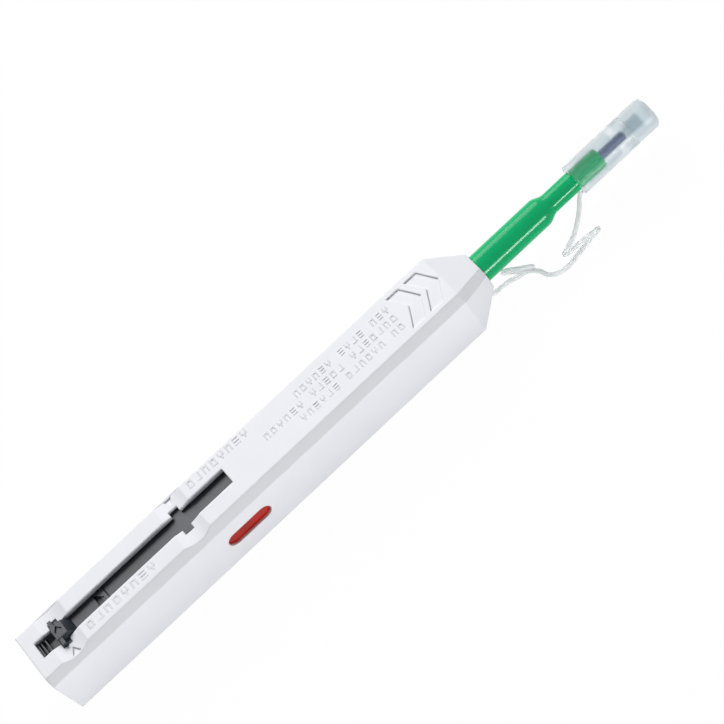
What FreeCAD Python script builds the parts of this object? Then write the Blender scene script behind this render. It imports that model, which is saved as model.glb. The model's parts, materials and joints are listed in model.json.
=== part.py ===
import FreeCAD, Part
import math
import os

V = FreeCAD.Vector
over = 1.0  # by which a cutting tool passes the surface that it opens
bite = 0.1  # by which a joined piece goes into its neighbour

# Fibre connector cleaning pen, millimetres.
# Stations along X are counted from the rear face of the housing and shifted to the middle of the
# pen when the pieces are written. +X points to the nozzle, +Z to the face with the slot, and the
# window is in the -Y side. The pen lies on its lower face, Z = 0.

# ---- driving dimensions -------------------------------------------------------------------------
# housing
body_width = 18.6
body_height = 19.6
body_length = 144.0
edge_chamfer = 2.1
wall = 1.7
rear_wall = 1.8
nose_length = 8.6
nose_face = 9.6
nose_face_chamfer = 1.9
nose_wall = 1.5
rear_edge_chamfer = 1.5
joint_drop = 0.3  # clearance between a sliding piece and the wall that it runs beside
fit = 0.05  # radial clearance of a shaft in its hole
# slot and the two latch positions
slot_start = 2.9
slot_end = 65.0
slot_width = 5.1
notch_span = 8.2
notch_length = 2.7
latch_station = 9.4
extension = 40.0
dish_length = 8.3
dish_depth = 0.8
dish_offset = 0.5
# marks moulded into the housing
mark_depth = 0.35
chevron_inset = 0.6  # from the tip of the first chevron to the nose
chevron_pitch = 5.85
chevron_thickness = 3.9
chevron_sweep = 3.0
chevron_span = 11.4
pointer_gap = 1.1
pointer_length = 2.2
pointer_width = 2.6
# window
window_length = 13.6
window_height = 4.7
window_station = 60.6
window_level = 10.4
lens_depth = 0.65  # its face below the outer face of the housing
lens_rebate = 0.4
lens_lip = 0.8
# joint between shell and side cover
cover_inset = 1.0
tongue_thickness = 0.8
tongue_depth = 1.4
tongue_clearance = 0.1
hook_count = 4
hook_length = 4.0
hook_height = 0.5
hook_depth = 1.0
# slider
strip_half_width = 5.2
strip_thickness = 1.6
strip_end = 82.0
hinge_station = 23.5
barrel_radius = 1.1
hinge_pin_radius = 0.5
bulkhead_start = 25.0
bulkhead_thickness = 2.2
ear_gap = 0.35  # from the slot's sides to the ears that hold the latch arm's pin
# latch button
block_start = 8.1
block_end = 11.5
block_top = 20.6
block_half_top = 1.9
block_lean = 0.1
slope_end = 13.4
tail_start = 3.1
tail_end = 5.7
rib_thickness = 0.4
rib_near = 0.9  # from the first rib to the second
rib_far = 2.1  # from the first rib to the third
rib_height = 1.5
neck_half_width = 1.1
neck_drop = 0.7
arm_thickness = 1.3
wing_drop = 0.3  # below the top of the block
wing_step = 1.7
wing_rib = 1.0
wing_swing = 0.5  # clearance behind the wings, which swing back as the button goes down
wing_bottom = 18.0
arrow_reach = 1.1
arrow_height = 1.9
arrow_depth = 0.45
vee_start = 20.9
vee_end = 23.2
vee_depth = 0.5
vee_deep = 1.0
side_gap = 0.2
leaf_thickness = 0.3
leaf_width = 3.0
leaf_level = 9.6
leaf_foot = 3.0  # height of the part that stands on the bulkhead
leaf_contact = 2.5
# stroke
stroke = 8.0
# reels
reel_floor = 1.2  # below the reels
reel_under = 0.7  # from the reels up to the slider's strip
reel_gap = 0.8  # between the two reels
reel_behind = 1.6  # from the reels to the frame's rear wall
flange_thickness = 0.9
drum_radius = 1.9
axle_radius = 1.3
takeup_pack_radius = 2.6
supply_pack_radius = 4.2
washer_thickness = 0.8
washer_gap = 0.1
washer_rim = 0.6  # beyond the hub that it brakes
# rack and pinion
gear_module = 0.5
pinion_teeth = 16
pressure_angle = 20.0
dedendum = 1.25  # in modules
pinion_width = 2.0
backlash = 0.12
rack_gap = 0.15  # from the rack's sides to the planes of the pinion's sides
# carriage frame
plate_room = 2.6  # from the plate's inner face to the inner face of the cover
plate_thickness = 1.2
hub_gap = 0.2
frame_wall = 1.6
frame_front = 93.5
post_top = 12.0
frame_half_width = 5.4
frame_under = 0.8  # below the slider's strip
frame_gap = 0.8  # from the frame's walls to the side with the window
front_half_height = 6.2
front_thickness = 2.5
tray_top = 3.8
rail_top = 7.5
rail_thickness = 1.2
post_radius = 1.5
post_level = 7.0
post_reach = 1.0  # behind the slider's bulkhead
# drive shaft and its cam
shaft_radius = 0.9
shaft_start = 69.0
shaft_behind = 0.5  # behind the wall that it turns in
cam_radius = 2.2
cam_start = 77.5
cam_lead = 16.0  # one turn of the groove
cam_pin_station = 79.0
cam_pin_radius = 0.5
cam_pin_gap = 0.2  # from the pin's tip to the bottom of the groove
cam_arm_gap = 1.4
cam_arm_half = 1.5
cam_arm_drop = 1.2
groove_width = 1.3
groove_depth = 0.7
groove_over = 0.25
cam_lip = 1.2
# return spring
spring_wire = 0.5
spring_coils = 4
spring_room = 0.35  # between the coil and the post
# nozzle
nozzle_radius = 3.9
nozzle_thin_radius = 2.8
nozzle_step_reach = 20.6  # beyond the housing, as are the four reaches below
nozzle_blend = 3.2
nozzle_reach = 40.7
nozzle_bore = 2.4
nozzle_thin_bore = 1.8
bore_step = 4.0  # the bore narrows this far behind the outside
tip_chamfer = 0.4
nozzle_flange_radius = 5.0
nozzle_flange_thickness = 1.4
spigot_radius = 3.2
tip_radius = 1.2
tip_bore = 0.95
tip_seat_reach = 32.0
tip_reach = 48.7
head_radius = 0.5
head_reach = 0.2  # beyond the tip tube
head_grip = 4.0  # length of the head behind the tip tube, on the shaft
thread_radius = 0.15
thread_gap = 0.8  # between the cam sleeve and the thread
thread_hole = 0.8
thread_rest = 0.2  # from the thread's middle to what it touches
thread_entry = 4.0
thread_taper = 0.02
# guide cap and lid
cap_reach = 32.0
cap_radius = 4.35
cap_wall = 0.95
cap_chamfer = 0.3
cap_length = 17.8
lid_length = 7.4
cap_grip_length = 2.5
cap_front_wall = 4.4
port_radius = 1.27
port_length = 4.6
port_room_radius = 1.65
port_boss_radius = 2.1
port_boss_length = 4.4
cap_turn = 33.0  # degrees from +Z to -Y, to the lid's tab
lid_gap = 0.3
lid_wall = 0.9
lid_round = 1.2
lid_skin = 0.3  # depth to which the tab and the knuckle go into the lid's wall
tab_length = 3.2
tab_width = 2.2
tab_height = 0.35
tab_lip = 0.4
tab_pad = 1.3
hinge_below = 0.45  # from the cap's outside down to the hinge line
knuckle_radius = 0.75
knuckle_pin = 0.35
knuckle_width = 1.6
knuckle_gap = 0.1
ear_width = 0.7
root_length = 2.2
# strap
strap_radius = 0.6
strap_sides = 6
thread_sides = 4
wire_sides = 5
arc_share = 0.45  # share of a run that each of its two bends takes

# ---- worked out from them -----------------------------------------------------------------------
axis_level = body_height / 2
half_width = body_width / 2
inner_half = half_width - wall
inner_top = body_height - wall
inner_chamfer = edge_chamfer - wall * (2 - math.sqrt(2))
nose_start = body_length - nose_length
seam = half_width - edge_chamfer
cover_end = nose_start - cover_inset
strip_top = inner_top - joint_drop
strip_bottom = strip_top - strip_thickness
nozzle_hole = nozzle_radius + 2 * fit
reel_radius = (strip_bottom - reel_under - wall - reel_floor) / 2
reel_level = wall + reel_floor + reel_radius
takeup_station = window_station
supply_station = takeup_station - 2 * reel_radius - reel_gap
plate_inner = inner_half - plate_room
flange_outer = -inner_half + joint_drop
drum_start = flange_outer + flange_thickness
reel_end = plate_inner - hub_gap - joint_drop - pinion_width
drum_end = reel_end - flange_thickness
frame_deep = -inner_half + frame_gap
frame_rear = supply_station - reel_radius - reel_behind - frame_wall
frame_low = wall + reel_floor
frame_top = strip_bottom - frame_under
pinion_pitch = gear_module * pinion_teeth / 2
tooth_pitch = math.pi * gear_module
rack_level = reel_level + pinion_pitch
rack_start = reel_end + rack_gap
rack_width = pinion_width - 2 * rack_gap
frame_mid = shaft_start
nozzle_step = body_length + nozzle_step_reach
nozzle_end = body_length + nozzle_reach
tip_seat = body_length + tip_seat_reach
tip_end = body_length + tip_reach
cap_start = body_length + cap_reach
shaft_end = tip_seat - head_grip
cam_end = cam_pin_station + stroke + cam_lip
cap_front = cap_start + cap_length
lid_start = cap_front + lid_gap
cap_end = lid_start + lid_length
hinge_x = cap_front + lid_gap / 2
hinge_drop = cap_radius + hinge_below
shift = -cap_end / 2


# ---- building blocks ----------------------------------------------------------------------------
def box(x0, x1, y0, y1, z0, z1):
    return Part.makeBox(x1 - x0, y1 - y0, z1 - z0, V(x0, y0, z0))


def rod_x(radius, x0, x1, y=0.0, z=None):
    return Part.makeCylinder(radius, x1 - x0, V(x0, y, axis_level if z is None else z), V(1, 0, 0))


def rod_y(radius, y0, y1, x, z):
    return Part.makeCylinder(radius, y1 - y0, V(x, y0, z), V(0, 1, 0))


def polygon(points):
    return Part.makePolygon([V(*p) for p in points + points[:1]])


def prism(points, direction):
    return Part.Face(polygon(points)).extrude(V(*direction))


def octagon(x, half_y, half_z, cut):
    y, z = half_y, half_z
    corners = [(y, cut - z), (y, z - cut), (y - cut, z), (cut - y, z)]
    corners += [(-a, -b) for a, b in corners]
    return [(x, a, axis_level + b) for a, b in corners]


def bar(x0, x1, half_y, half_z, cut):
    return prism(octagon(x0, half_y, half_z, cut), (x1 - x0, 0, 0))


def loft(first, last):
    return Part.makeLoft([polygon(first), polygon(last)], True, True)


def turned(outline, y=0.0, z=None):
    """Revolves (station, radius) points about the line along X through y, z."""
    level = axis_level if z is None else z
    points = [(x, y, level + r) for x, r in outline]
    return Part.Face(polygon(points)).revolve(V(0, y, level), V(1, 0, 0), 360)


def clean(shape):
    shape = shape.removeSplitter()
    solids = shape.Solids
    if len(solids) != 1 or not solids[0].isValid():
        raise ValueError("a piece is not one valid solid: %d" % len(solids))
    return solids[0]


# ---- housing ------------------------------------------------------------------------------------
def housing_outside():
    body = bar(0, nose_start, half_width, body_height / 2, edge_chamfer)
    tip = octagon(body_length, nose_face / 2, nose_face / 2, nose_face_chamfer)
    root = octagon(nose_start, half_width, body_height / 2, edge_chamfer)
    body = body.fuse(loft(root, tip)).removeSplitter()
    cut = rear_edge_chamfer
    corner = [(0, -body_width, 0), (cut, -body_width, 0), (0, -body_width, cut)]
    return body.cut(prism(corner, (0, 2 * body_width, 0)))


def housing_inside():
    room = bar(rear_wall, nose_start, inner_half, body_height / 2 - wall, inner_chamfer)
    end = body_length - nose_wall
    shrink = (nose_face / 2 - half_width) * (nose_length - nose_wall) / nose_length
    small = half_width + shrink - nose_wall
    tall = body_height / 2 + (nose_face - body_height) / 2 * (nose_length - nose_wall) / nose_length
    tip = octagon(end, small, tall - nose_wall, inner_chamfer)
    root = octagon(nose_start, inner_half, body_height / 2 - wall, inner_chamfer)
    room = room.fuse(loft(root, tip)).removeSplitter()
    return room.fuse(rod_x(nozzle_hole, end - over, body_length + over))


def slot_cut():
    low, high = inner_top - over, body_height + over
    cut = box(slot_start, slot_end, -slot_width / 2, slot_width / 2, low, high)
    for station in (latch_station, latch_station + extension):
        reach = notch_length / 2
        cut = cut.fuse(box(station - reach, station + reach, -notch_span / 2, notch_span / 2, low, high))
    return cut


def finger_dishes():
    radius = (dish_length**2 / 4 + dish_depth**2) / (2 * dish_depth)
    level = body_height - dish_depth + radius
    ends = -body_width, body_width
    first = latch_station + dish_offset
    return rod_y(radius, *ends, first, level).fuse(rod_y(radius, *ends, first + extension, level))


def chevrons():
    cuts = []
    first = nose_start - chevron_inset
    for tip in (first, first - chevron_pitch):
        back, arm = tip - chevron_thickness, chevron_span / 2
        outline = [(tip, 0), (tip - chevron_sweep, arm), (back - chevron_sweep, arm), (back, 0)]
        outline += [(back - chevron_sweep, -arm), (tip - chevron_sweep, -arm)]
        cuts.append(prism([(x, y, body_height - mark_depth) for x, y in outline], (0, 0, 1)))
    return cuts


def pointer(station, side):
    """A small triangular recess beside the slot, its apex towards the slot."""
    level = body_height - dish_depth - mark_depth
    near = side * (notch_span / 2 + pointer_gap)
    far = near + side * pointer_length
    half = pointer_width / 2
    arrow = [(station, near), (station - half, far), (station + half, far)]
    return prism([(x, y, level) for x, y in arrow], (0, 0, 2 * dish_depth))


def window_bar(grow, y0, y1):
    """A bar with round ends, as large as the window and some more all round."""
    reach = (window_length - window_height) / 2
    radius = window_height / 2 + grow
    first, last = window_station - reach, window_station + reach
    piece = box(first, last, y0, y1, window_level - radius, window_level + radius)
    ends = [rod_y(radius, y0, y1, x, window_level) for x in (first, last)]
    return piece.fuse(ends)


def window_cut():
    step = -half_width + lens_lip
    opening = window_bar(0, -half_width - over, step + bite)
    return opening.fuse(window_bar(lens_rebate, step, -inner_half + over))


def window_lens():
    """The red pane, set in from inside against the lip of the window."""
    step = -half_width + lens_lip + fit
    front = window_bar(-fit, -half_width + lens_depth, step + bite)
    return clean(front.fuse(window_bar(lens_rebate - fit, step, -inner_half)))


def hook_stations():
    step = (cover_end - rear_wall) / hook_count
    return [rear_wall + step * (i + 0.5) for i in range(hook_count)]


def hooks(extra):
    """Wedges on the tongues, or with some extra size the pockets that hold them."""
    pieces = []
    tip = seam - tongue_depth
    for station in hook_stations():
        x0, x1 = station - hook_length / 2 - extra, station + hook_length / 2 + extra
        for level, up in ((inner_top - tongue_clearance, 1), (wall + tongue_clearance, -1)):
            high = level + up * (hook_height + extra)
            back = tip + hook_depth + extra
            low = level - up * tongue_thickness / 2
            outline = [(tip - extra, level), (back, high), (back, level), (back, low), (tip - extra, low)]
            pieces.append(prism([(x0, y, z) for y, z in outline], (x1 - x0, 0, 0)))
    return pieces


def shells():
    outside = housing_outside()
    hollow = outside.cut(housing_inside())
    side = box(-over, cover_end, seam, body_width, -over, body_height + over)
    shell = hollow.cut(side).cut(slot_cut()).cut(finger_dishes()).cut(window_cut())
    shell = shell.cut(Part.makeCompound(chevrons()))
    first = latch_station + dish_offset
    shell = shell.cut(pointer(first, -1)).cut(pointer(first + extension, 1))
    shell = shell.cut(Part.makeCompound(hooks(tongue_clearance)))
    shell = shell.cut(strap_socket())
    cover = hollow.common(side).cut(finger_dishes())
    inner_z = body_height / 2 - wall - tongue_clearance - tongue_thickness
    core = bar(-over, body_length, inner_half + over, inner_z, bite)
    start, end = rear_wall + tongue_clearance, cover_end - tongue_clearance
    ring = bar(start, end, inner_half, inner_z + tongue_thickness, inner_chamfer)
    ring = ring.cut(core).common(box(start, end, seam - tongue_depth, seam, 0, body_height))
    root = housing_inside().cut(core).common(box(start, end, seam, inner_half, 0, body_height))
    ring = ring.fuse(root)
    cover = cover.fuse(ring).fuse(hooks(0))
    return clean(shell), clean(cover)


# ---- slider and latch button --------------------------------------------------------------------
def rack_teeth():
    """Trapezoid teeth along X that point down, a gap over the pinion's axis."""
    half_root = (tooth_pitch / 2 - backlash) / 2 + gear_module * math.tan(math.radians(pressure_angle))
    half_tip = (tooth_pitch / 2 - backlash) / 2 - gear_module * math.tan(math.radians(pressure_angle))
    low, high = rack_level - gear_module, rack_level + gear_module * dedendum
    reach = pinion_teeth // 5
    first = -int(stroke / tooth_pitch) - reach
    teeth = []
    for i in range(first, reach + 1):
        x = takeup_station + (i + 0.5) * tooth_pitch
        outline = [(x - half_tip, low), (x + half_tip, low), (x + half_root, high), (x - half_root, high)]
        teeth.append(prism([(a, rack_start, b) for a, b in outline], (0, rack_width, 0)))
    start = takeup_station + first * tooth_pitch
    end = takeup_station + (reach + 1) * tooth_pitch
    web = box(start, end, rack_start, rack_start + rack_width, high, strip_bottom + bite)
    return web.fuse(teeth)


def bulkhead():
    plate = bar(
        bulkhead_start,
        bulkhead_start + bulkhead_thickness,
        inner_half - joint_drop,
        body_height / 2 - wall - joint_drop,
        inner_chamfer,
    )
    clear = tongue_thickness + tongue_clearance + joint_drop
    near = seam - tongue_depth - joint_drop
    plate = plate.cut(box(0, body_length, near, body_width, 0, wall + clear))
    plate = plate.cut(box(0, body_length, near, body_width, inner_top - clear, body_height))
    return plate.cut(rod_x(post_radius + fit, 0, body_length, 0, post_level))


def slider():
    strip_start = hinge_station + barrel_radius - joint_drop
    strip = box(strip_start, strip_end, -strip_half_width, strip_half_width, strip_bottom, strip_top)
    level = strip_top - barrel_radius
    wide = strip_half_width
    strip = strip.cut(rod_y(barrel_radius + joint_drop / 2, -wide, wide, hinge_station, level))
    piece = strip.fuse(bulkhead())
    inner = slot_width / 2 + ear_gap
    for side in (-1, 1):
        y0, y1 = sorted((side * inner, side * strip_half_width))
        ear = box(hinge_station, bulkhead_start, y0, y1, level - barrel_radius, strip_top)
        piece = piece.fuse(ear).fuse(rod_y(barrel_radius, y0, y1, hinge_station, level))
    piece = piece.cut(rod_y(hinge_pin_radius, -body_width, body_width, hinge_station, level))
    piece = piece.fuse(rack_teeth())
    y0, y1 = cam_radius + cam_arm_gap, strip_half_width
    x0, x1 = cam_pin_station - cam_arm_half, cam_pin_station + cam_arm_half
    arm = box(x0, x1, y0, y1, axis_level - cam_arm_drop, strip_bottom + bite)
    piece = piece.fuse(arm).cut(rod_y(cam_pin_radius, y0 - over, y1 + over, cam_pin_station, axis_level))
    return clean(piece)


def hinge_pin():
    wide = strip_half_width
    return rod_y(hinge_pin_radius, -wide, wide, hinge_station, strip_top - barrel_radius)


def cam_pin():
    tip = cam_radius - groove_depth + cam_pin_gap
    return rod_y(cam_pin_radius, tip, strip_half_width, cam_pin_station, axis_level)


def latch_head():
    """The thumb block between the slot's sides, its own sides sloping in towards the top."""
    half = slot_width / 2 - side_gap
    low = strip_top - arm_thickness
    side = [(block_start, low), (slope_end, low), (slope_end, strip_top), (block_end, block_top)]
    side += [(block_start + block_lean, block_top)]
    head = prism([(x, -half, z) for x, z in side], (0, 2 * half, 0))
    front = [(-half, low), (half, low), (half, strip_top), (block_half_top, block_top)]
    front += [(-block_half_top, block_top), (-half, strip_top)]
    return head.common(prism([(0, y, z) for y, z in front], (2 * slope_end, 0, 0)))


def latch_arrow():
    """The engraved arrow head on the thumb block."""
    mid = (block_start + block_end) / 2
    rise, reach = arrow_height, arrow_reach
    outline = [(0, rise * 3 / 4), (-reach, 0), (-reach * 2 / 3, -rise / 4), (0, rise / 4)]
    outline += [(reach * 2 / 3, -rise / 4), (reach, 0)]
    return prism([(mid + x, y, block_top - arrow_depth) for x, y in outline], (0, 0, 1))


def latch_button():
    half = slot_width / 2 - side_gap
    low = strip_top - arm_thickness
    arm = box(block_end, hinge_station, -half, half, low, strip_top)
    neck = box(tail_start, slope_end, -neck_half_width, neck_half_width, low, strip_top - neck_drop)
    tail = box(tail_start, tail_end, -half, half, low, strip_top - neck_drop)
    ribs = []
    for station in (tail_start, tail_start + rib_near, tail_start + rib_far):
        rib_top = strip_top - neck_drop + rib_height
        ribs.append(box(station, station + rib_thickness, -half, half, low, rib_top))
    piece = latch_head().fuse([arm, neck, tail] + ribs)
    rear = latch_station - notch_length / 2 + wing_swing
    front = latch_station + notch_length / 2 - side_gap
    wing = notch_span / 2 - side_gap
    top = block_top - wing_drop
    piece = piece.fuse(box(rear, rear + wing_rib, -wing, wing, wing_bottom, top))
    piece = piece.fuse(box(rear, front, -wing, wing, wing_bottom, top - wing_step))
    level = strip_top - barrel_radius
    piece = piece.fuse(rod_y(barrel_radius, -half, half, hinge_station, level))
    piece = piece.cut(rod_y(hinge_pin_radius + fit, -half - over, half + over, hinge_station, level))
    vee = [(vee_start, -half - bite), (vee_start, half + bite), (vee_end, 0)]
    piece = piece.cut(prism([(x, y, strip_top - vee_depth) for x, y in vee], (0, 0, 1)))
    deep = prism([(x, y, strip_top - vee_deep) for x, y in vee], (0, 0, 1))
    knuckle = hinge_station - barrel_radius - side_gap / 2
    piece = piece.cut(deep.common(box(vee_start, knuckle, -half - over, half + over, low, block_top)))
    return clean(piece.cut(latch_arrow()))


def button_spring():
    """A steel leaf from the slider's bulkhead up to the underside of the button."""
    thick = leaf_thickness
    root, tip = leaf_level, strip_top - arm_thickness - fit
    foot, bend, end = bulkhead_start, latch_station + leaf_contact, latch_station
    rise = root + leaf_foot
    outline = [(foot, root), (foot, rise), (foot - thick, rise), (foot - thick, root + thick)]
    outline += [(bend, tip), (end, tip), (end, tip - thick), (bend, tip - thick), (foot - thick, root)]
    return prism([(x, -leaf_width / 2, z) for x, z in outline], (0, leaf_width, 0))


# ---- carriage -----------------------------------------------------------------------------------
def reel_frame():
    """The carriage's plate with the two posts for the reels, its walls, and the tray to the nozzle."""
    y1 = plate_inner + plate_thickness
    half = frame_half_width
    rail_inner = rail_thickness - half
    plate = box(frame_rear, frame_mid + frame_wall, plate_inner, y1, frame_low, frame_top)
    rear = box(frame_rear, frame_rear + frame_wall, frame_deep, y1, frame_low, post_top)
    mid = box(frame_mid, frame_mid + frame_wall, frame_deep, y1, frame_low, post_top)
    tray = box(frame_mid, frame_front, -half, half, wall + joint_drop, tray_top)
    front = bar(frame_front - front_thickness, frame_front, half, front_half_height, inner_chamfer)
    rail = box(frame_mid, frame_front, -half, rail_inner, frame_low, rail_top)
    piece = plate.fuse([rear, mid, tray, front, rail])
    for station in (takeup_station, supply_station):
        post = rod_y(axle_radius, drum_start + joint_drop, plate_inner + bite, station, reel_level)
        piece = piece.fuse(post)
    piece = piece.fuse(rod_x(post_radius, bulkhead_start - post_reach, frame_rear + bite, 0, post_level))
    piece = piece.cut(rod_x(shaft_radius + fit, frame_mid - over, frame_mid + frame_wall + over))
    thread_level = axis_level - cam_radius - thread_gap
    piece = piece.cut(rod_x(thread_hole, frame_mid - over, frame_mid + frame_wall + over, 0, thread_level))
    piece = piece.cut(rod_x(spigot_radius, frame_front - front_thickness - over, frame_front + over))
    return clean(piece)


def return_spring():
    """An open coil between the slider's bulkhead and the frame, round the frame's post."""
    start = bulkhead_start + bulkhead_thickness + spring_wire / 2 + joint_drop
    length = frame_rear - spring_wire / 2 - joint_drop - start
    radius = post_radius + spring_room + spring_wire / 2
    steps = 8
    points = []
    for i in range(spring_coils * steps + 1):
        angle = 2 * math.pi * i / steps
        along = start + length * i / (spring_coils * steps)
        points.append((along, radius * math.cos(angle), post_level + radius * math.sin(angle)))
    return strand(points, spring_wire / 2, wire_sides)[0]


def reel(station, hub_end):
    """A spool that turns on its post, closed on the side of the window."""
    outline = [
        (flange_outer, 0),
        (flange_outer, reel_radius),
        (drum_start, reel_radius),
        (drum_start, drum_radius),
        (drum_end, drum_radius),
        (drum_end, reel_radius),
        (reel_end, reel_radius),
        (reel_end, drum_radius),
        (hub_end, drum_radius),
        (hub_end, axle_radius + fit),
        (drum_start + hub_gap, axle_radius + fit),
        (drum_start + hub_gap, 0),
    ]
    face = Part.Face(polygon([(station + r, y, reel_level) for y, r in outline]))
    return face.revolve(V(station, 0, reel_level), V(0, 1, 0), 360)


def pack(station, radius):
    ring = rod_y(radius, drum_start, drum_end, station, reel_level)
    return ring.cut(rod_y(drum_radius, drum_start - over, drum_end + over, station, reel_level))


def involute(radius, angle):
    """The point of an involute of that base radius after it has unrolled by an angle."""
    spread = math.hypot(1, angle)
    return radius * spread, angle - math.atan(angle)


def feed_pinion():
    base = pinion_pitch * math.cos(math.radians(pressure_angle))
    tip = pinion_pitch + gear_module
    root = pinion_pitch - dedendum * gear_module
    at_pitch = math.tan(math.radians(pressure_angle)) - math.radians(pressure_angle)
    half = (tooth_pitch / 2 - backlash) / 2 / pinion_pitch + at_pitch
    last = math.sqrt((tip / base) ** 2 - 1)
    flank = [involute(base, last * i / 4) for i in range(5)]
    flank = [(r, half - a) for r, a in flank]
    flank = [(root, flank[0][1])] + flank
    points = []
    for tooth in range(pinion_teeth):
        middle = math.pi / 2 + tooth * 2 * math.pi / pinion_teeth
        side = [(r, middle - a) for r, a in flank] + [(r, middle + a) for r, a in reversed(flank)]
        points += [(r * math.cos(a), r * math.sin(a)) for r, a in side]
    outline = [(takeup_station + x, reel_end, reel_level + z) for x, z in points]
    gear = prism(outline, (0, pinion_width, 0))
    hub_end = plate_inner - hub_gap
    gear = gear.fuse(rod_y(drum_radius, reel_end, hub_end, takeup_station, reel_level))
    bore = rod_y(axle_radius + fit, reel_end - over, hub_end + over, takeup_station, reel_level)
    return clean(gear.cut(bore))


def brake_washer():
    y1 = plate_inner
    washer = rod_y(drum_radius + washer_rim, y1 - washer_thickness, y1, supply_station, reel_level)
    return washer.cut(rod_y(axle_radius, y1 - body_width, y1 + 1, supply_station, reel_level))


def drive_shaft():
    return rod_x(shaft_radius, shaft_start - shaft_behind, shaft_end)


def cam_sleeve():
    bore = rod_x(shaft_radius, cam_start - over, cam_end + over)
    sleeve = rod_x(cam_radius, cam_start, cam_end).cut(bore)
    turn = stroke / cam_lead
    radius = cam_radius - groove_depth / 2 + groove_over
    depth = groove_depth / 2 + groove_over
    path = Part.Wire(Part.makeHelix(cam_lead, cam_lead * turn, radius))
    slope = math.atan2(cam_lead, 2 * math.pi * radius)
    half = groove_width / 2 / math.cos(slope)
    section = [(radius - depth, 0, -half), (radius + depth, 0, -half), (radius + depth, 0, half)]
    section += [(radius - depth, 0, half)]
    groove = path.makePipeShell([polygon(section)], True, True)
    groove.rotate(V(0, 0, 0), V(0, 1, 0), 90)
    groove.rotate(V(0, 0, 0), V(1, 0, 0), 90)
    groove.translate(V(cam_pin_station, 0, axis_level))
    sleeve = sleeve.cut(groove)
    for step, angle in ((0, 0), (stroke, 360 * turn)):
        floor = V(0, cam_radius - groove_depth, 0)
        end = Part.makeCylinder(groove_width / 2 + fit, cam_radius, floor, V(0, 1, 0))
        end.rotate(V(0, 0, 0), V(1, 0, 0), angle)
        end.translate(V(cam_pin_station + step, 0, axis_level))
        sleeve = sleeve.cut(end)
    return clean(sleeve)


def cleaning_head():
    point = tip_end + head_reach
    outline = [(shaft_end, 0), (shaft_end, head_radius), (point - head_reach, head_radius)]
    outline += [(point, head_radius - head_reach), (point, 0)]
    return turned(outline)


def nozzle():
    rear = frame_front - front_thickness
    flange = frame_front + nozzle_flange_thickness
    ease = (nozzle_radius - nozzle_thin_radius) / 6
    outline = [
        (rear, nozzle_bore),
        (rear, spigot_radius),
        (frame_front, spigot_radius),
        (frame_front, nozzle_flange_radius),
        (flange, nozzle_flange_radius),
        (flange, nozzle_radius),
        (nozzle_step, nozzle_radius),
        (nozzle_step + nozzle_blend / 4, nozzle_radius - ease),
        (nozzle_step + nozzle_blend * 3 / 4, nozzle_thin_radius + ease),
        (nozzle_step + nozzle_blend, nozzle_thin_radius),
        (nozzle_end - tip_chamfer, nozzle_thin_radius),
        (nozzle_end, nozzle_thin_radius - tip_chamfer),
        (nozzle_end, tip_radius),
        (tip_seat, tip_radius),
        (tip_seat, nozzle_thin_bore),
        (nozzle_step - bore_step, nozzle_thin_bore),
        (nozzle_step - bore_step - nozzle_bore + nozzle_thin_bore, nozzle_bore),
    ]
    return turned(outline)


def tip_tube():
    edge = (tip_radius - tip_bore) * 3 / 4
    outline = [(tip_seat, tip_bore), (tip_seat, tip_radius), (tip_end - edge, tip_radius)]
    outline += [(tip_end, tip_radius - edge), (tip_end, tip_bore)]
    return turned(outline)


def ring(centre, direction, radius, sides):
    """An even polygon of that many sides across a direction, with the area of the round section."""
    across = direction.cross(V(0, 1, 0.1))
    across.normalize()
    reach = radius * math.sqrt(2 * math.pi / sides / math.sin(2 * math.pi / sides))
    corners = []
    for i in range(sides):
        turn = FreeCAD.Rotation(direction, 360 * (i + 0.5) / sides)
        corners.append(centre + turn.multVec(across) * reach)
    return Part.makePolygon(corners + corners[:1])


def strand(points, radius, sides):
    """A thin strand along straight runs joined by tangent arcs, with the arcs' radii and its length."""
    nodes = [V(*p) for p in points]
    section = ring(nodes[0], nodes[1] - nodes[0], radius, sides)
    skin, radii, length, here = [Part.Face(section)], [], 0, nodes[0]
    for before, at, after in zip(nodes, nodes[1:], nodes[2:]):
        reach = arc_share * min((at - before).Length, (after - at).Length)
        inbound, outbound = at - before, after - at
        turn = inbound.getAngle(outbound)
        inbound.normalize()
        outbound.normalize()
        axis = inbound.cross(outbound)
        axis.normalize()
        bend = reach / math.tan(turn / 2)
        start = at - inbound * reach
        centre = start + axis.cross(inbound) * bend
        skin += section.extrude(start - here).Faces
        section.translate(start - here)
        skin += section.revolve(centre, axis, math.degrees(turn)).Faces
        section.rotate(centre, axis, math.degrees(turn))
        length += (start - here).Length + bend * turn
        here = at + outbound * reach
        radii.append(bend)
    skin += section.extrude(nodes[-1] - here).Faces
    section.translate(nodes[-1] - here)
    length += (nodes[-1] - here).Length
    shell = Part.Shell(skin + [Part.Face(section)])
    shell.sewShape()
    tube = Part.Solid(shell)
    if tube.Volume < 0:
        tube.reverse()
    return tube, radii, length


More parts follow.
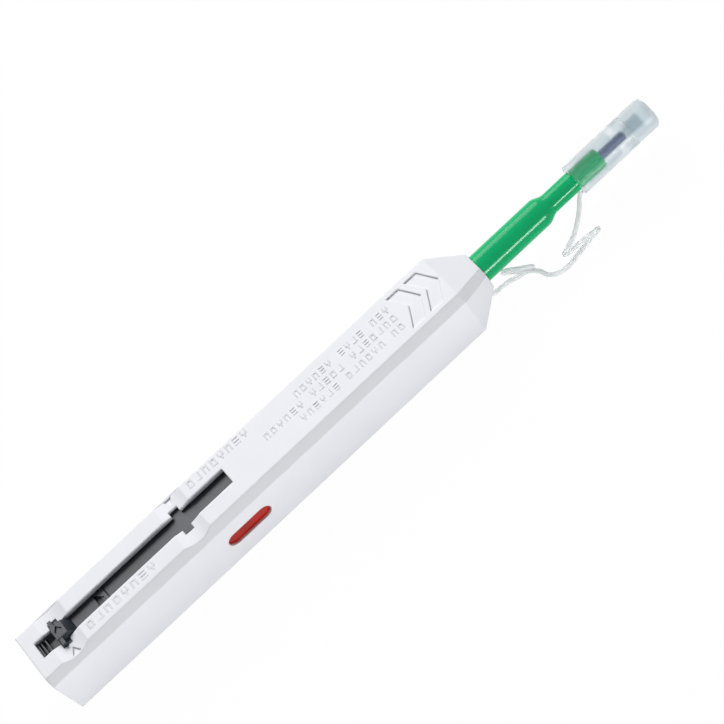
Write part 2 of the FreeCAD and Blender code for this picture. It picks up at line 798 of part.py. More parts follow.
def cleaning_thread():
    """From the top of the supply pack to the tip, round the head and back to the take-up pack."""
    top = reel_level + supply_pack_radius + thread_rest
    low = reel_level - takeup_pack_radius - thread_rest
    in_bore = (shaft_radius + nozzle_thin_bore) / 2
    in_tip = (head_radius + tip_bore) / 2
    up = [
        (supply_station, 0, top),
        (cam_start - thread_entry, 0, axis_level + cam_radius + thread_gap),
        (cam_end, 0, axis_level + cam_radius + thread_gap / 2),
        (frame_front, 0, axis_level + nozzle_bore * 2 / 3),
        (frame_front + thread_entry, 0, axis_level + in_bore + thread_taper),
        (shaft_end - thread_rest, 0, axis_level + in_bore),
        (tip_seat - thread_rest, 0, axis_level + in_tip),
        (tip_end + head_reach + thread_rest, 0, axis_level + in_tip - thread_taper),
    ]
    down = [(x, y, 2 * axis_level - z) for x, y, z in reversed(up[1:])]
    return strand(up + down + [(takeup_station, 0, low)], thread_radius, thread_sides)[0]


# ---- guide cap and lid --------------------------------------------------------------------------
def turn_cap(shape):
    """From the tab at the top to the cap's real turn about its axis."""
    shape.rotate(V(0, 0, axis_level), V(1, 0, 0), cap_turn)
    return shape


def root_block(x0, x1, y0, y1):
    """The block that joins a knuckle of the lid's hinge to the wall above it."""
    level = axis_level - hinge_drop
    return box(x0, x1, y0, y1, level - knuckle_radius, level + knuckle_radius + fit)


def root_slope(way, y0, y1):
    """The corner taken off below that block, behind (-1) or in front (1) of the hinge."""
    level = axis_level - hinge_drop - knuckle_radius
    far = hinge_x + way * (root_length + knuckle_gap)
    near = hinge_x + way * (knuckle_radius + 2 * knuckle_gap)
    corner = [(far, level - knuckle_gap), (near, level - knuckle_gap), (far, level + 2 * knuckle_radius)]
    return prism([(x, y0 - over, z) for x, z in corner], (0, y1 - y0 + 2 * over, 0))


def guide_cap():
    inner = cap_radius - cap_wall
    grip_end = cap_start + cap_grip_length
    room_end = cap_front - cap_front_wall
    port_start = cap_front + port_boss_length - port_length
    outline = [
        (cap_start, nozzle_thin_radius + fit),
        (cap_start, cap_radius - cap_chamfer),
        (cap_start + cap_chamfer, cap_radius),
        (cap_front, cap_radius),
        (cap_front, port_boss_radius),
        (cap_front + port_boss_length, port_boss_radius),
        (cap_front + port_boss_length, port_radius),
        (port_start, port_radius),
        (port_start, port_room_radius),
        (room_end, port_room_radius),
        (room_end, inner),
        (grip_end, inner),
        (grip_end, nozzle_thin_radius + fit),
    ]
    cap = turned(outline)
    level = axis_level - hinge_drop
    half = knuckle_width / 2 + knuckle_gap
    for side in (-1, 1):
        y0, y1 = sorted((side * half, side * (half + ear_width)))
        ear = rod_y(knuckle_radius, y0, y1, hinge_x, level)
        ear = ear.fuse(root_block(hinge_x - root_length, hinge_x, y0, y1))
        ear = ear.cut(root_slope(-1, y0, y1))
        inside = axis_level - cap_radius + cap_wall / 2
        ear = ear.cut(box(cap_start, cap_front, y0, y1, inside, axis_level))
        cap = cap.fuse(ear)
        cap = cap.cut(rod_y(knuckle_pin + fit, y0 - knuckle_gap, y1 + knuckle_gap, hinge_x, level))
    cap = cap.cut(rod_y(knuckle_radius + knuckle_gap, -half, half, hinge_x, level))
    return turn_cap(clean(cap))


def cap_lid():
    inner = cap_radius - lid_wall
    outline = [
        (lid_start, inner),
        (lid_start, cap_radius),
        (cap_end - lid_round, cap_radius),
        (cap_end - lid_round / 3, cap_radius - lid_round / 3),
        (cap_end, cap_radius - lid_round),
        (cap_end, 0),
        (cap_end - lid_wall, 0),
        (cap_end - lid_wall, inner),
    ]
    lid = turned(outline)
    half, top = tab_width / 2, axis_level + cap_radius + tab_height
    end = lid_start + tab_length
    pad = end - tab_lip - tab_pad
    tab = box(lid_start, end, -half, half, axis_level, top)
    tab = tab.fuse(box(end - tab_lip, end, -half, half, axis_level, top + tab_lip))
    tab = tab.cut(box(pad, pad + tab_pad, -tab_pad / 2, tab_pad / 2, top - tab_height / 2, top + over))
    core = rod_x(cap_radius - lid_skin, cap_start, cap_end)
    lid = lid.fuse(tab.cut(core))
    level = axis_level - hinge_drop
    half = knuckle_width / 2
    knuckle = rod_y(knuckle_radius, -half, half, hinge_x, level)
    knuckle = knuckle.fuse(root_block(hinge_x, hinge_x + root_length, -half, half))
    knuckle = knuckle.cut(root_slope(1, -half, half))
    pin = rod_y(knuckle_pin, -half - ear_width, half + ear_width, hinge_x, level)
    for side in (-1, 1):
        y0, y1 = sorted((side * half, side * (half + ear_width + 2 * knuckle_gap)))
        lid = lid.cut(rod_y(knuckle_radius + knuckle_gap, y0, y1, hinge_x, level))
    lid = lid.fuse(knuckle.cut(core)).fuse(pin)
    return turn_cap(clean(lid))


# ---- strap --------------------------------------------------------------------------------------
strap_rest = strap_radius + 0.05
strap_route = [
    (140.0, -2.6, 4.9),
    (141.4, -3.0, 3.2),
    (143.6, -3.1, 1.6),
    (146.8, -2.5, 0.8),
    (150.8, -3.6, strap_rest),
    (154.6, -4.7, strap_rest),
    (154.5, -5.7, 3.2),
    (151.5, -3.6, 3.5),
    (148.4, -1.2, 3.8),
    (148.2, -0.2, 1.3),
    (151.6, -3.1, 1.6),
    (155.3, -7.0, 1.3),
    (155.6, -8.8, strap_rest),
    (157.2, -10.6, strap_rest),
    (160.6, -11.5, strap_rest),
    (164.9, -10.7, strap_rest),
    (168.6, -9.9, strap_rest),
    (172.6, -9.6, strap_rest),
    (172.5, -10.6, 3.1),
    (168.6, -10.0, 2.7),
    (165.4, -9.4, 2.0),
    (162.2, -9.2, 1.8),
    (162.1, -9.9, 4.3),
    (165.0, -9.1, 4.3),
    (167.8, -7.4, 3.8),
    (170.6, -5.5, 4.4),
    (172.9, -3.9, 5.4),
    (174.5, -2.3, 6.3),
    (175.7, -1.7, 6.75),
]


def strap_socket():
    first, second = V(*strap_route[0]), V(*strap_route[1])
    along = second - first
    return Part.makeCylinder(strap_radius + joint_drop / 2, 2 * along.Length, first - along / 4, along)


def strap():
    tube, radii, length = strand(strap_route, strap_radius, strap_sides)
    section = math.pi * strap_radius**2
    print("strap length %.1f, volume over section x length %.4f" % (length, tube.Volume / section / length))
    print("strap bend radii", [round(r, 1) for r in radii])
    return tube


# ---- all pieces ---------------------------------------------------------------------------------
def pieces():
    main_shell, side_cover = shells()
    return {
        "main_shell": main_shell,
        "side_cover": side_cover,
        "window_lens": window_lens(),
        "strap": strap(),
        "slider": slider(),
        "hinge_pin": hinge_pin(),
        "cam_pin": cam_pin(),
        "button_spring": button_spring(),
        "latch_button": latch_button(),
        "reel_frame": reel_frame(),
        "return_spring": return_spring(),
        "brake_washer": brake_washer(),
        "nozzle": nozzle(),
        "tip_tube": tip_tube(),
        "cleaning_thread": cleaning_thread(),
        "takeup_reel": reel(takeup_station, reel_end),
        "takeup_pack": pack(takeup_station, takeup_pack_radius),
        "feed_pinion": feed_pinion(),
        "supply_reel": reel(supply_station, plate_inner - washer_thickness - washer_gap),
        "supply_pack": pack(supply_station, supply_pack_radius),
        "drive_shaft": drive_shaft(),
        "cam_sleeve": cam_sleeve(),
        "cleaning_head": cleaning_head(),
        "guide_cap": guide_cap(),
        "cap_lid": cap_lid(),
    }


os.makedirs("parts", exist_ok=True)
for name, shape in pieces().items():
    shape.translate(V(shift, 0, 0))
    if len(shape.Solids) != 1 or not shape.isValid():
        print("check", name, len(shape.Solids), shape.isValid())
    shape.exportStep("parts/%s.step" % name)
    size = shape.BoundBox
    limits = (size.XMin, size.XMax, size.YMin, size.YMax, size.ZMin, size.ZMax)
    print("%-16s %9.2f mm3" % (name, shape.Volume), [round(v, 2) for v in limits])
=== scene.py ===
"""The looks of a fibre connector cleaning pen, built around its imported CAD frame."""

import json
import math

import bmesh
import bpy
from mathutils import Matrix, Vector


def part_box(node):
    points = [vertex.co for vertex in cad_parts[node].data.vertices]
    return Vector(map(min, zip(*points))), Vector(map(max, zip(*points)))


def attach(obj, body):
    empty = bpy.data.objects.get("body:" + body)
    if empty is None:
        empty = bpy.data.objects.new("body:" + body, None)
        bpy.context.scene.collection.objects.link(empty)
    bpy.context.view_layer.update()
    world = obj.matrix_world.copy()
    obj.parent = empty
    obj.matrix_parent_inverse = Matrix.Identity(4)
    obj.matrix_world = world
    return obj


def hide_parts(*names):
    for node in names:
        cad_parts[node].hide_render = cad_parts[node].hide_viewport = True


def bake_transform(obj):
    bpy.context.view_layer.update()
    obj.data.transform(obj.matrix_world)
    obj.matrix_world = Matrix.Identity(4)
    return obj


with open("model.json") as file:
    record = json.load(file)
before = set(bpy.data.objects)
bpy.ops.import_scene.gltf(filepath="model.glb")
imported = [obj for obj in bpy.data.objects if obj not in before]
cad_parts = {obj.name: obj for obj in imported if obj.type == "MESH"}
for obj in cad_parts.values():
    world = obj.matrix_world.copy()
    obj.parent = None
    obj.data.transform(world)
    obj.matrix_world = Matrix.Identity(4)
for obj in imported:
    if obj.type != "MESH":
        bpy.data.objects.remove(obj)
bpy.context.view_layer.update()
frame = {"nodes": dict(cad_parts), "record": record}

MM = 0.001

# ---- places, in millimetres, stations counted along X from the rear face of the housing ----------
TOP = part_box("main_shell")[1].z / MM
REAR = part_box("main_shell")[0].x / MM


def place(station, y, z):
    """The point at a station, a Y and a height, in metres."""
    return Vector(((REAR + station) * MM, y * MM, z * MM))


# ---- camera -------------------------------------------------------------------------------------
# A long lens, high above the window side. The lens and the sensor are in millimetres.
CAMERA_AT = Vector((-2.83, -332.23, 530.34)) * MM
CAMERA_AIM = Vector((6.92, 3.59, 9.8)) * MM
CAMERA_ROLL = -41.68  # degrees
CAMERA_LENS = 125.245
SENSOR = 36.0
CLIP_START = 0.01  # metres


def add_camera():
    data = bpy.data.cameras.new("camera")
    data.lens = CAMERA_LENS
    data.sensor_width = SENSOR
    data.clip_start = CLIP_START
    camera = bpy.data.objects.new("camera", data)
    bpy.context.collection.objects.link(camera)
    turn = (CAMERA_AT - CAMERA_AIM).to_track_quat("Z", "Y").to_matrix().to_4x4()
    roll = Matrix.Rotation(math.radians(CAMERA_ROLL), 4, "Z")
    camera.matrix_world = Matrix.Translation(CAMERA_AT) @ turn @ roll
    bpy.context.scene.camera = camera


# ---- strap --------------------------------------------------------------------------------------
STRAP_RADIUS = 0.6
STRAP_SIDES = 16
STRAP_REST = STRAP_RADIUS + 0.05  # height of its middle where it lies on the floor
STRAP_ROUTE = [  # station, Y and height, from under the nose to the cap
    (140.0, -2.6, 4.9),
    (141.4, -3.0, 3.2),
    (143.6, -3.1, 1.6),
    (146.8, -2.5, 0.8),
    (150.8, -3.6, STRAP_REST),
    (154.6, -4.7, STRAP_REST),
    (154.5, -5.7, 3.2),
    (151.5, -3.6, 3.5),
    (148.4, -1.2, 3.8),
    (148.2, -0.2, 1.3),
    (151.6, -3.1, 1.6),
    (155.3, -7.0, 1.3),
    (155.6, -8.8, STRAP_REST),
    (157.2, -10.6, STRAP_REST),
    (160.6, -11.5, STRAP_REST),
    (164.9, -10.7, STRAP_REST),
    (168.6, -9.9, STRAP_REST),
    (172.6, -9.6, STRAP_REST),
    (172.5, -10.6, 3.1),
    (168.6, -10.0, 2.7),
    (165.4, -9.4, 2.0),
    (162.2, -9.2, 1.8),
    (162.1, -9.9, 4.3),
    (165.0, -9.1, 4.3),
    (167.8, -7.4, 3.8),
    (170.6, -5.5, 4.4),
    (172.9, -3.9, 5.4),
    (174.5, -2.3, 6.3),
    (175.7, -1.7, 6.75),
]
STRAP_SHARES = (0.34, 0.67, 1.0)  # of the route's length, where each of the three lengths ends
STRAP_JOINTS = (  # the bodies that a length goes between, and where its blend starts and ends
    ("housing", "slider", (141.0, 0, 0), (147.5, 0, 0)),
    ("slider", "carriage", (152.0, 0, 0), (168.0, 0, 0)),
    ("carriage", "cap", (173.0, -10.4, 3.5), (175.5, -1.9, 6.6)),
)
SPLINE_STEPS = 12  # in each stretch between two points of a route


def spline_points(name, points):
    """Points along the smooth NURBS line that a route controls."""
    data = bpy.data.curves.new(name, "CURVE")
    data.dimensions = "3D"
    data.resolution_u = SPLINE_STEPS
    line = data.splines.new("NURBS")
    line.points.add(len(points) - 1)
    for spot, point in zip(line.points, points):
        spot.co = (*point, 1)
    line.order_u = 3  # after the points, because without them it stays at 2
    line.use_endpoint_u = True
    curve = bpy.data.objects.new(name, data)
    bpy.context.collection.objects.link(curve)
    bpy.context.view_layer.update()
    mesh = bpy.data.meshes.new_from_object(curve)
    found = [v.co.copy() for v in mesh.vertices]
    bpy.data.objects.remove(curve)
    return found


def new_object(name, mesh, body=None):
    """An object in the scene, which rides that body if there is one."""
    obj = bpy.data.objects.new(name, mesh)
    bpy.context.collection.objects.link(obj)
    if body:
        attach(obj, body)
    return obj


def skin(name, rings, smooth):
    """A closed mesh over rings of points, with its sides smooth or flat."""
    mesh = bpy.data.meshes.new(name)
    bm = bmesh.new()
    loops = [[bm.verts.new(point) for point in ring] for ring in rings]
    for first, second in zip(loops, loops[1:]):
        for k in range(len(first)):
            bm.faces.new((first[k], first[k - 1], second[k - 1], second[k]))
    ends = [bm.faces.new(loops[0]), bm.faces.new(reversed(loops[-1]))]
    bmesh.ops.recalc_face_normals(bm, faces=bm.faces)
    for face in bm.faces:
        face.smooth = smooth and face not in ends
    bm.to_mesh(mesh)
    bm.free()
    return mesh


def tube_mesh(name, path, radius, sides):
    """A closed round tube along a path, with its frame carried from ring to ring."""
    ahead = (path[1] - path[0]).normalized()
    across = ahead.orthogonal().normalized()
    rings = []
    for i, at in enumerate(path):
        before, after = path[max(i - 1, 0)], path[min(i + 1, len(path) - 1)]
        turned = (after - before).normalized()
        across = ahead.rotation_difference(turned) @ across
        ahead = turned
        other = ahead.cross(across)
        ring = []
        for k in range(sides):
            angle = 2 * math.pi * k / sides
            ring.append(at + (across * math.cos(angle) + other * math.sin(angle)) * radius)
        rings.append(ring)
    return skin(name, rings, True)


def line_length(points):
    """The length of the straight runs from point to point."""
    return sum((b - a).length for a, b in zip(points, points[1:]))


def split_line(line):
    """The line in lengths that end at STRAP_SHARES, each starting where the one before it ends."""
    total = line_length(line)
    lengths, run = [[line[0]]], 0.0
    for a, b in zip(line, line[1:]):
        run += (b - a).length
        lengths[-1].append(b)
        if run >= STRAP_SHARES[len(lengths) - 1] * total and len(lengths) < len(STRAP_SHARES):
            lengths.append([b])
    return lengths


def add_strap():
    """The strap in three lengths, each across one joint between the housing and the cap."""
    line = spline_points("strap_line", [place(*p) for p in STRAP_ROUTE])
    made = []
    for k, (path, (first, second, start, end)) in enumerate(zip(split_line(line), STRAP_JOINTS)):
        name = "strap_%d" % (k + 1)
        piece = new_object(name, tube_mesh(name, path, STRAP_RADIUS * MM, STRAP_SIDES))
        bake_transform(piece)
        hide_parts("strap")
        made.append(piece)
    return made


# ---- springs ------------------------------------------------------------------------------------
COIL_START, COIL_END = 27.75, 37.5  # stations of the wire's centre at the coil's two ends
COIL_LEVEL = 7.1
COIL_RADIUS = 2.1
COIL_WIRE = 0.25  # radius
COIL_SIDES = 8
COIL_TURNS = 4
COIL_STEPS = 16  # in each turn
LEAF_WIDTH = 3.0
LEAF_STEPS = 6  # along its slope
LEAF_PAIRS = (  # station and level of the leaf's lower and upper face, from its foot to its tip
    ((25.0, 12.6), (24.7, 12.6)),
    ((25.0, 9.6), (24.7, 9.9)),
    ((11.9, 15.95), (11.9, 16.25)),
    ((9.4, 15.95), (9.4, 16.25)),
)


def add_return_spring():
    """The coil behind the reel frame, built at one length; in the pen it shortens as the pen is pushed.
    """
    steps = COIL_TURNS * COIL_STEPS
    path = []
    for i in range(steps + 1):
        angle = 2 * math.pi * i / COIL_STEPS
        station = COIL_START + (COIL_END - COIL_START) * i / steps
        y, rise = COIL_RADIUS * math.cos(angle), COIL_RADIUS * math.sin(angle)
        path.append(place(station, y, COIL_LEVEL + rise))
    coil = new_object("return_coil", tube_mesh("return_coil", path, COIL_WIRE * MM, COIL_SIDES))
    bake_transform(coil)
    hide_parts("return_spring")
    return coil


def leaf_pair(share):
    """The leaf's lower and upper point at that share of its slope."""
    first, last = LEAF_PAIRS[1], LEAF_PAIRS[2]
    return [[a + (b - a) * share for a, b in zip(near, far)] for near, far in zip(first, last)]


def leaf_ring(lower, upper):
    """The leaf's four corners across its lower and upper point."""
    side = LEAF_WIDTH / 2
    corners = ((lower, -side), (lower, side), (upper, side), (upper, -side))
    return [place(station, y, level) for (station, level), y in corners]


def add_button_spring():
    """The leaf under the button, built in one shape; in the pen it bends as the button goes down."""
    slope = [leaf_pair(i / LEAF_STEPS) for i in range(1, LEAF_STEPS)]
    pairs = [*LEAF_PAIRS[:2], *slope, *LEAF_PAIRS[2:]]
    rings = [leaf_ring(*pair) for pair in pairs]
    leaf = new_object("button_leaf", skin("button_leaf", rings, False))
    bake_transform(leaf)
    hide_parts("button_spring")
    return leaf


# ---- materials ----------------------------------------------------------------------------------
RAMP_ENDS = (0.3, 0.7)  # where a noise pattern reaches its two colours
BEVEL_SAMPLES = 6
WINDING_SCALE = 568.7  # of the wave pattern across the thread


def finish(name, colour, roughness, **settings):
    """A new material whose even values sit on the shader's own sockets."""
    material = bpy.data.materials.new(name)
    material.use_nodes = True
    shader = material.node_tree.nodes["Principled BSDF"]
    shader.inputs["Base Color"].default_value = (*colour, 1)
    shader.inputs["Roughness"].default_value = roughness
    for key, value in settings.items():
        shader.inputs[key.replace("_", " ").title().replace("Ior", "IOR")].default_value = value
    return material


def node(material, kind, **settings):
    """A new node. Each setting is a property of it or else one of its inputs."""
    made = material.node_tree.nodes.new(kind)
    for key, value in settings.items():
        if hasattr(made, key):
            setattr(made, key, value)
        else:
            made.inputs[key.replace("_", " ").title()].default_value = value
    return made


def link(material, source, target):
    material.node_tree.links.new(source, target)


def shader_of(material):
    return material.node_tree.nodes["Principled BSDF"]


def noise(material, grain_mm, detail, stretch=(1, 1, 1)):
    """A noise pattern whose grain has that size, fixed to the part."""
    where = node(material, "ShaderNodeTexCoord")
    mapped = node(material, "ShaderNodeMapping")
    mapped.inputs["Scale"].default_value = [s / (grain_mm * MM) for s in stretch]
    made = node(material, "ShaderNodeTexNoise", detail=detail, scale=1.0)
    link(material, where.outputs["Object"], mapped.inputs["Vector"])
    link(material, mapped.outputs["Vector"], made.inputs["Vector"])
    return made.outputs["Fac"]


def tint(material, pattern, colour, low, high):
    """The base colour goes from low to high times that colour with the pattern."""
    ramp = node(material, "ShaderNodeValToRGB")
    for stop, position, share in zip(ramp.color_ramp.elements, RAMP_ENDS, (low, high)):
        stop.position = position
        stop.color = (*(channel * share for channel in colour), 1)
    link(material, pattern, ramp.inputs["Fac"])
    link(material, ramp.outputs["Color"], shader_of(material).inputs["Base Color"])


def polish(material, pattern, low, high):
    """The roughness goes from low to high with the pattern."""
    span = node(material, "ShaderNodeMapRange")
    span.inputs["To Min"].default_value = low
    span.inputs["To Max"].default_value = high
    link(material, pattern, span.inputs["Value"])
    link(material, span.outputs["Result"], shader_of(material).inputs["Roughness"])


def surface(material, pattern, depth_mm, strength, edge_mm=0.0):
    """A fine bump from the pattern, over edges that look rounded by edge_mm."""
    bump = node(material, "ShaderNodeBump")
    bump.inputs["Distance"].default_value = depth_mm * MM
    bump.inputs["Strength"].default_value = strength
    link(material, pattern, bump.inputs["Height"])
    if edge_mm:
        bevel = node(material, "ShaderNodeBevel", samples=BEVEL_SAMPLES)
        bevel.inputs["Radius"].default_value = edge_mm * MM
        link(material, bevel.outputs["Normal"], bump.inputs["Normal"])
    link(material, bump.outputs["Normal"], shader_of(material).inputs["Normal"])


def housing_plastic():
    white = (0.785, 0.79, 0.83)
    made = finish("housing_plastic", white, 0.42, specular_ior_level=0.2)
    tint(made, noise(made, 14, 3), white, 0.985, 1.01)
    polish(made, noise(made, 3, 3), 0.38, 0.48)
    surface(made, noise(made, 0.12, 2), 0.012, 0.3, edge_mm=0.5)
    return made


def mark_plastic_painted_shade():
    """The housing's plastic on the fine raised marks, whose own sides are already sloped, painted darker:
    a painted shade for the marks' steep sides.
    """
    # painted shade: darker than the housing's white, for the shade that falls on the marks' steep sides
    white = (0.72, 0.72, 0.755)
    made = finish("mark_plastic_painted_shade", white, 0.5, specular_ior_level=0.2)
    tint(made, noise(made, 14, 3), white, 0.985, 1.01)
    polish(made, noise(made, 3, 3), 0.46, 0.56)
    return made


def black_plastic():
    black = (0.02, 0.025, 0.032)
    made = finish("black_plastic", black, 0.34, specular_ior_level=0.33)
    tint(made, noise(made, 4, 3), black, 0.8, 1.25)
    polish(made, noise(made, 0.8, 3), 0.3, 0.4)
    surface(made, noise(made, 0.1, 2), 0.01, 0.4, edge_mm=0.12)
    return made


def green_plastic():
    green = (0.0, 0.4, 0.14)
    made = finish("green_plastic", green, 0.15, specular_ior_level=0.14)
    tint(made, noise(made, 9, 2, (0.3, 1, 1)), green, 0.94, 1.06)
    polish(made, noise(made, 8, 2), 0.14, 0.16)
    return made


def window_plastic():
    red = (0.5, 0.009, 0.002)
    made = finish("window_plastic", red, 0.2, transmission_weight=0.25, specular_ior_level=0.08)
    tint(made, noise(made, 5, 2), red, 0.8, 1.1)
    polish(made, noise(made, 2.0, 2), 0.1, 0.22)
    surface(made, noise(made, 1.5, 2), 0.02, 0.3)
    return made


def frame_plastic():
    natural = (0.62, 0.63, 0.64)
    made = finish("frame_plastic", natural, 0.45)
    tint(made, noise(made, 5, 3), natural, 0.94, 1.04)
    polish(made, noise(made, 1.0, 3), 0.4, 0.52)
    surface(made, noise(made, 0.12, 2), 0.008, 0.3, edge_mm=0.1)
    return made


def cap_plastic():
    clear = (0.75, 0.805, 0.83)
    made = finish("cap_plastic", clear, 0.3, transmission_weight=0.97, ior=1.2)
    tint(made, noise(made, 6, 2), clear, 0.98, 1.01)
    polish(made, noise(made, 1.2, 3), 0.27, 0.35)
    return made


def strap_plastic():
    milky = (0.86, 0.875, 0.885)
    made = finish("strap_plastic", milky, 0.5, transmission_weight=0.6, ior=1.2)
    tint(made, noise(made, 3, 2), milky, 0.97, 1.02)
    polish(made, noise(made, 3, 2), 0.46, 0.54)
    return made


def steel():
    metal = (0.46, 0.47, 0.49)
    made = finish("steel", metal, 0.28, metallic=1.0)
    tint(made, noise(made, 1.5, 3, (0.1, 1, 1)), metal, 0.92, 1.06)
    polish(made, noise(made, 0.3, 3, (0.05, 1, 1)), 0.22, 0.36)
    surface(made, noise(made, 0.12, 2, (0.04, 1, 1)), 0.003, 0.4, edge_mm=0.05)
    return made


def tip_steel():
    """Dark drawn steel, as the fine tip tube shows through the cap."""
    metal = (0.16, 0.18, 0.28)
    made = finish("tip_steel", metal, 0.34, metallic=1.0)
    tint(made, noise(made, 1.5, 3, (0.1, 1, 1)), metal, 0.9, 1.1)
    polish(made, noise(made, 0.3, 3, (0.05, 1, 1)), 0.28, 0.42)
    return made


def thread_fibre():
    """Fine yarn: the windings show as close waves across the reel."""
    pale = (0.82, 0.82, 0.8)
    made = finish("thread_fibre", pale, 0.85, sheen_weight=0.2)
    tint(made, noise(made, 0.3, 3, (1, 0.3, 1)), pale, 0.82, 1.0)
    where = node(made, "ShaderNodeTexCoord")
    wound = node(made, "ShaderNodeTexWave", scale=WINDING_SCALE, distortion=1.5)
    wound.bands_direction = "Y"
    link(made, where.outputs["Object"], wound.inputs["Vector"])
    surface(made, wound.outputs["Fac"], 0.08, 0.8)
    return made


FINISHES = {
    "housing": housing_plastic,
    "strap": strap_plastic,
    "black_plastic": black_plastic,
    "frame_plastic": frame_plastic,
    "steel": steel,
    "green_plastic": green_plastic,
    "window_plastic": window_plastic,
    "thread": thread_fibre,
    "cap_plastic": cap_plastic,
}


def dress(obj, material):
    """The object wears that material and no other."""
    obj.data.materials.clear()
    obj.data.materials.append(material)


def dress_nodes(made):
    """Each CAD node gets the finish of its slot in the record."""
    for part in frame["record"]["subparts"]:
        dress(frame["nodes"][part["node"]], made[part["material_slot"]])
    dress(frame["nodes"]["tip_tube"], tip_steel())


# ---- raised marks -------------------------------------------------------------------------------
MARK_HEIGHT = 0.17
MARK_SLOPE = 0.5  # share of half a cell that the top edges stand in from the foot
SIGNS = (
    ("###", "# #", "# #", "# #", "# #"),
    ("###", "   ", "###", "   ", "###"),
    ("###", "# #", "# #", "# #", "###"),
    ("# #", "# #", "###", " # ", " # "),
    ("#  ", "#  ", "#  ", "#  ", "###"),
)
SIGN_ROWS = len(SIGNS[0])
SIGN_COLUMNS = len(SIGNS[0][0])
SIGN_SHARE = 0.7  # a sign's width, as a share of the pitch
SIGN_STEP = 3  # from one place in a row to the next, so that neighbours differ
MARK_ROWS = (  # piece, stations where its row starts and ends, Y of its middle, height, signs per word
    ("marks_row_1", 121.0, 86.8, -2.9, 2.0, (2, 6, 6)),
    ("marks_row_2", 121.0, 77.1, 0.4, 2.0, (7, 5, 6)),
    ("marks_row_3", 121.0, 89.4, 3.6, 2.0, (3, 4, 6)),
    ("marks_extended", 75.6, 55.3, 5.5, 2.3, (8,)),
    ("marks_standard", 37.9, 15.0, -4.4, 2.3, (8,)),
)


def raise_sign(bm, sign, left, top, across, down):
    """Raises the filled cells of a sign as one block with sloping sides, in millimetres."""
    filled = {(c, r) for r, line in enumerate(sign) for c, mark in enumerate(line) if mark == "#"}
    corners = {}

    def corner(column, row, level):
        key = (column, row, level)
        if key not in corners:
            x, y = column, row
            if level > 0:
                near = [(c, r) for c in (x - 1, x) for r in (y - 1, y) if (c, r) in filled]
                x += MARK_SLOPE * (sum(c + 0.5 for c, r in near) / len(near) - column)
                y += MARK_SLOPE * (sum(r + 0.5 for c, r in near) / len(near) - row)
            corners[key] = bm.verts.new(place(left - x * across, top - y * down, TOP + level))
        return corners[key]

    steps = ((0, 0), (1, 0), (1, 1), (0, 1))
    sides = ((0, -1), (1, 0), (0, 1), (-1, 0))
    for column, row in sorted(filled):
        ring = [(column + dc, row + dr) for dc, dr in steps]
        bm.faces.new([corner(*at, MARK_HEIGHT) for at in ring])
        for k, (dc, dr) in enumerate(sides):
            if (column + dc, row + dr) in filled:
                continue
            first, second = ring[k], ring[(k + 1) % 4]
            wall = [corner(*first, MARK_HEIGHT), corner(*first, 0.0)]
            wall += [corner(*second, 0.0), corner(*second, MARK_HEIGHT)]
            bm.faces.new(wall)


def sign_row(name, first, last, y, height, words):
    """A row of plain generic signs, read from the +X end, with a space between its words."""
    pitch = (first - last) / (sum(words) + len(words) - 1)
    across, down = pitch * SIGN_SHARE / SIGN_COLUMNS, height / SIGN_ROWS
    bm = bmesh.new()
    cell = 0
    for word in words:
        for letter in range(word):
            sign = SIGNS[(cell * SIGN_STEP + word + letter // 2) % len(SIGNS)]
            raise_sign(bm, sign, first - cell * pitch, y + height / 2, across, down)
            cell += 1
        cell += 1
    bmesh.ops.recalc_face_normals(bm, faces=bm.faces)
    mesh = bpy.data.meshes.new(name)
    bm.to_mesh(mesh)
    bm.free()
    row = new_object(name, mesh, "housing")
    return row


# ---- floor and light ----------------------------------------------------------------------------
FLOOR_HALF = 3.0  # metres
FLOOR_DROP = 0.02  # millimetres below the part
FLOOR_PAPER = 0.92
BACKDROP_SHARE = 0.98  # of the plain white that the rays of seen_directly meet
WORLD_LIGHT = 0.13
LAMPS = (  # name, place and size in metres, watts, and whether it lights matt surfaces
    ("key", (0.16, 0.84, 0.9), (1.1, 0.9), 21.5, True),
    ("fill", (0.0, -1.3, 0.1), (1.4, 0.2), 11.5, True),
    ("strip", (0.0, -1.25, 0.15), (1.4, 0.3), 34.0, False),
)


def seen_directly(tree):
    """1 for the rays that show the backdrop, which are camera, glossy and transmission rays, or 0."""
    path = tree.nodes.new("ShaderNodeLightPath")
    total = path.outputs["Is Camera Ray"]
    for name in ("Is Glossy Ray", "Is Transmission Ray"):
        either = tree.nodes.new("ShaderNodeMath")
        either.operation = "MAXIMUM"
        tree.links.new(total, either.inputs[0])
        tree.links.new(path.outputs[name], either.inputs[1])
        total = either.outputs[0]
    return total


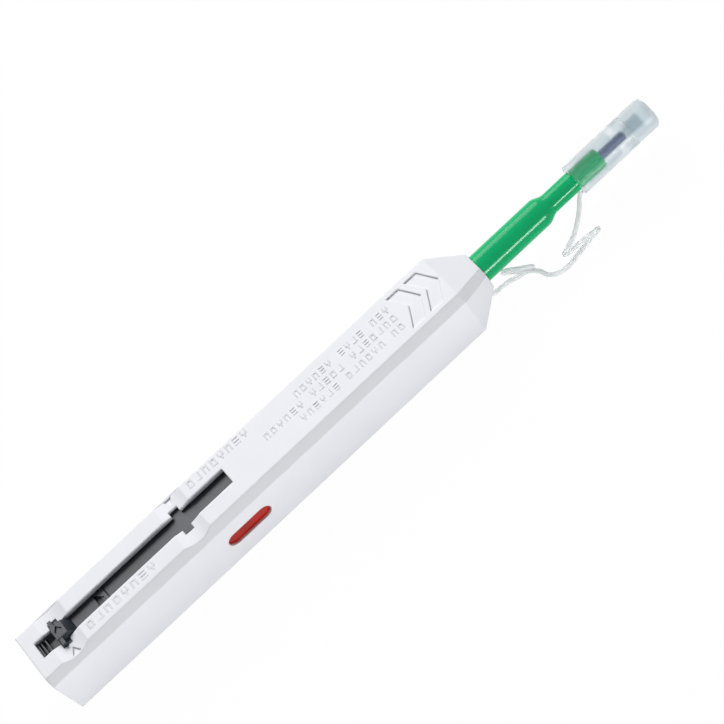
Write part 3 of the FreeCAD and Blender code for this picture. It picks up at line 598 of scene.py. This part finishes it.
def add_floor():
    mesh = bpy.data.meshes.new("floor")
    around = [(-1, -1), (1, -1), (1, 1), (-1, 1)]
    corners = [(x * FLOOR_HALF, y * FLOOR_HALF, -FLOOR_DROP * MM) for x, y in around]
    mesh.from_pydata(corners, [], [(0, 1, 2, 3)])
    floor = new_object("floor", mesh)
    material = bpy.data.materials.new("floor_white")
    material.use_nodes = True
    material.cycles.emission_sampling = "NONE"  # it shows but lights nothing, so no sample is aimed at it
    tree = material.node_tree
    tree.nodes.clear()
    out = tree.nodes.new("ShaderNodeOutputMaterial")
    paper = tree.nodes.new("ShaderNodeBsdfDiffuse")
    paper.inputs["Color"].default_value = (*[FLOOR_PAPER] * 3, 1)
    white = tree.nodes.new("ShaderNodeEmission")
    share = tree.nodes.new("ShaderNodeMath")
    share.operation = "MULTIPLY"
    share.inputs[1].default_value = BACKDROP_SHARE
    tree.links.new(seen_directly(tree), share.inputs[0])
    mix = tree.nodes.new("ShaderNodeMixShader")
    tree.links.new(share.outputs[0], mix.inputs[0])
    tree.links.new(paper.outputs[0], mix.inputs[1])
    tree.links.new(white.outputs[0], mix.inputs[2])
    tree.links.new(mix.outputs[0], out.inputs[0])
    dress(floor, material)


def add_world():
    world = bpy.data.worlds.new("studio")
    bpy.context.scene.world = world
    world.use_nodes = True
    tree = world.node_tree
    back = tree.nodes["Background"]
    level = tree.nodes.new("ShaderNodeMapRange")
    level.inputs["To Min"].default_value = WORLD_LIGHT
    level.inputs["To Max"].default_value = 1.0
    tree.links.new(seen_directly(tree), level.inputs["Value"])
    tree.links.new(level.outputs["Result"], back.inputs["Strength"])
    back.inputs["Color"].default_value = (1, 1, 1, 1)


def add_lamp(name, at, size, power, lights):
    """A lamp that faces the origin and shows in reflections. It lights matt surfaces or doesn't."""
    data = bpy.data.lights.new(name, "AREA")
    data.shape = "RECTANGLE"
    data.size, data.size_y = size
    data.energy = power
    lamp = bpy.data.objects.new(name, data)
    bpy.context.collection.objects.link(lamp)
    lamp.location = at
    lamp.rotation_euler = Vector(at).to_track_quat("Z", "Y").to_euler()
    lamp.visible_diffuse = lights
    lamp.visible_transmission = False


# ---- the scene ----------------------------------------------------------------------------------
add_camera()
finishes = {slot: make() for slot, make in FINISHES.items()}
dress_nodes(finishes)
for length in add_strap():
    dress(length, finishes["strap"])
for spring in (add_return_spring(), add_button_spring()):
    dress(spring, finishes["steel"])
# the marks wear a darker copy of the housing plastic, which paints shade on them
mark_painted_shade = mark_plastic_painted_shade()
for row in MARK_ROWS:
    dress(sign_row(*row), mark_painted_shade)
add_floor()
add_world()
for lamp in LAMPS:
    add_lamp(*lamp)

bpy.context.scene.view_settings.view_transform = "Standard"
bpy.context.view_layer.update()
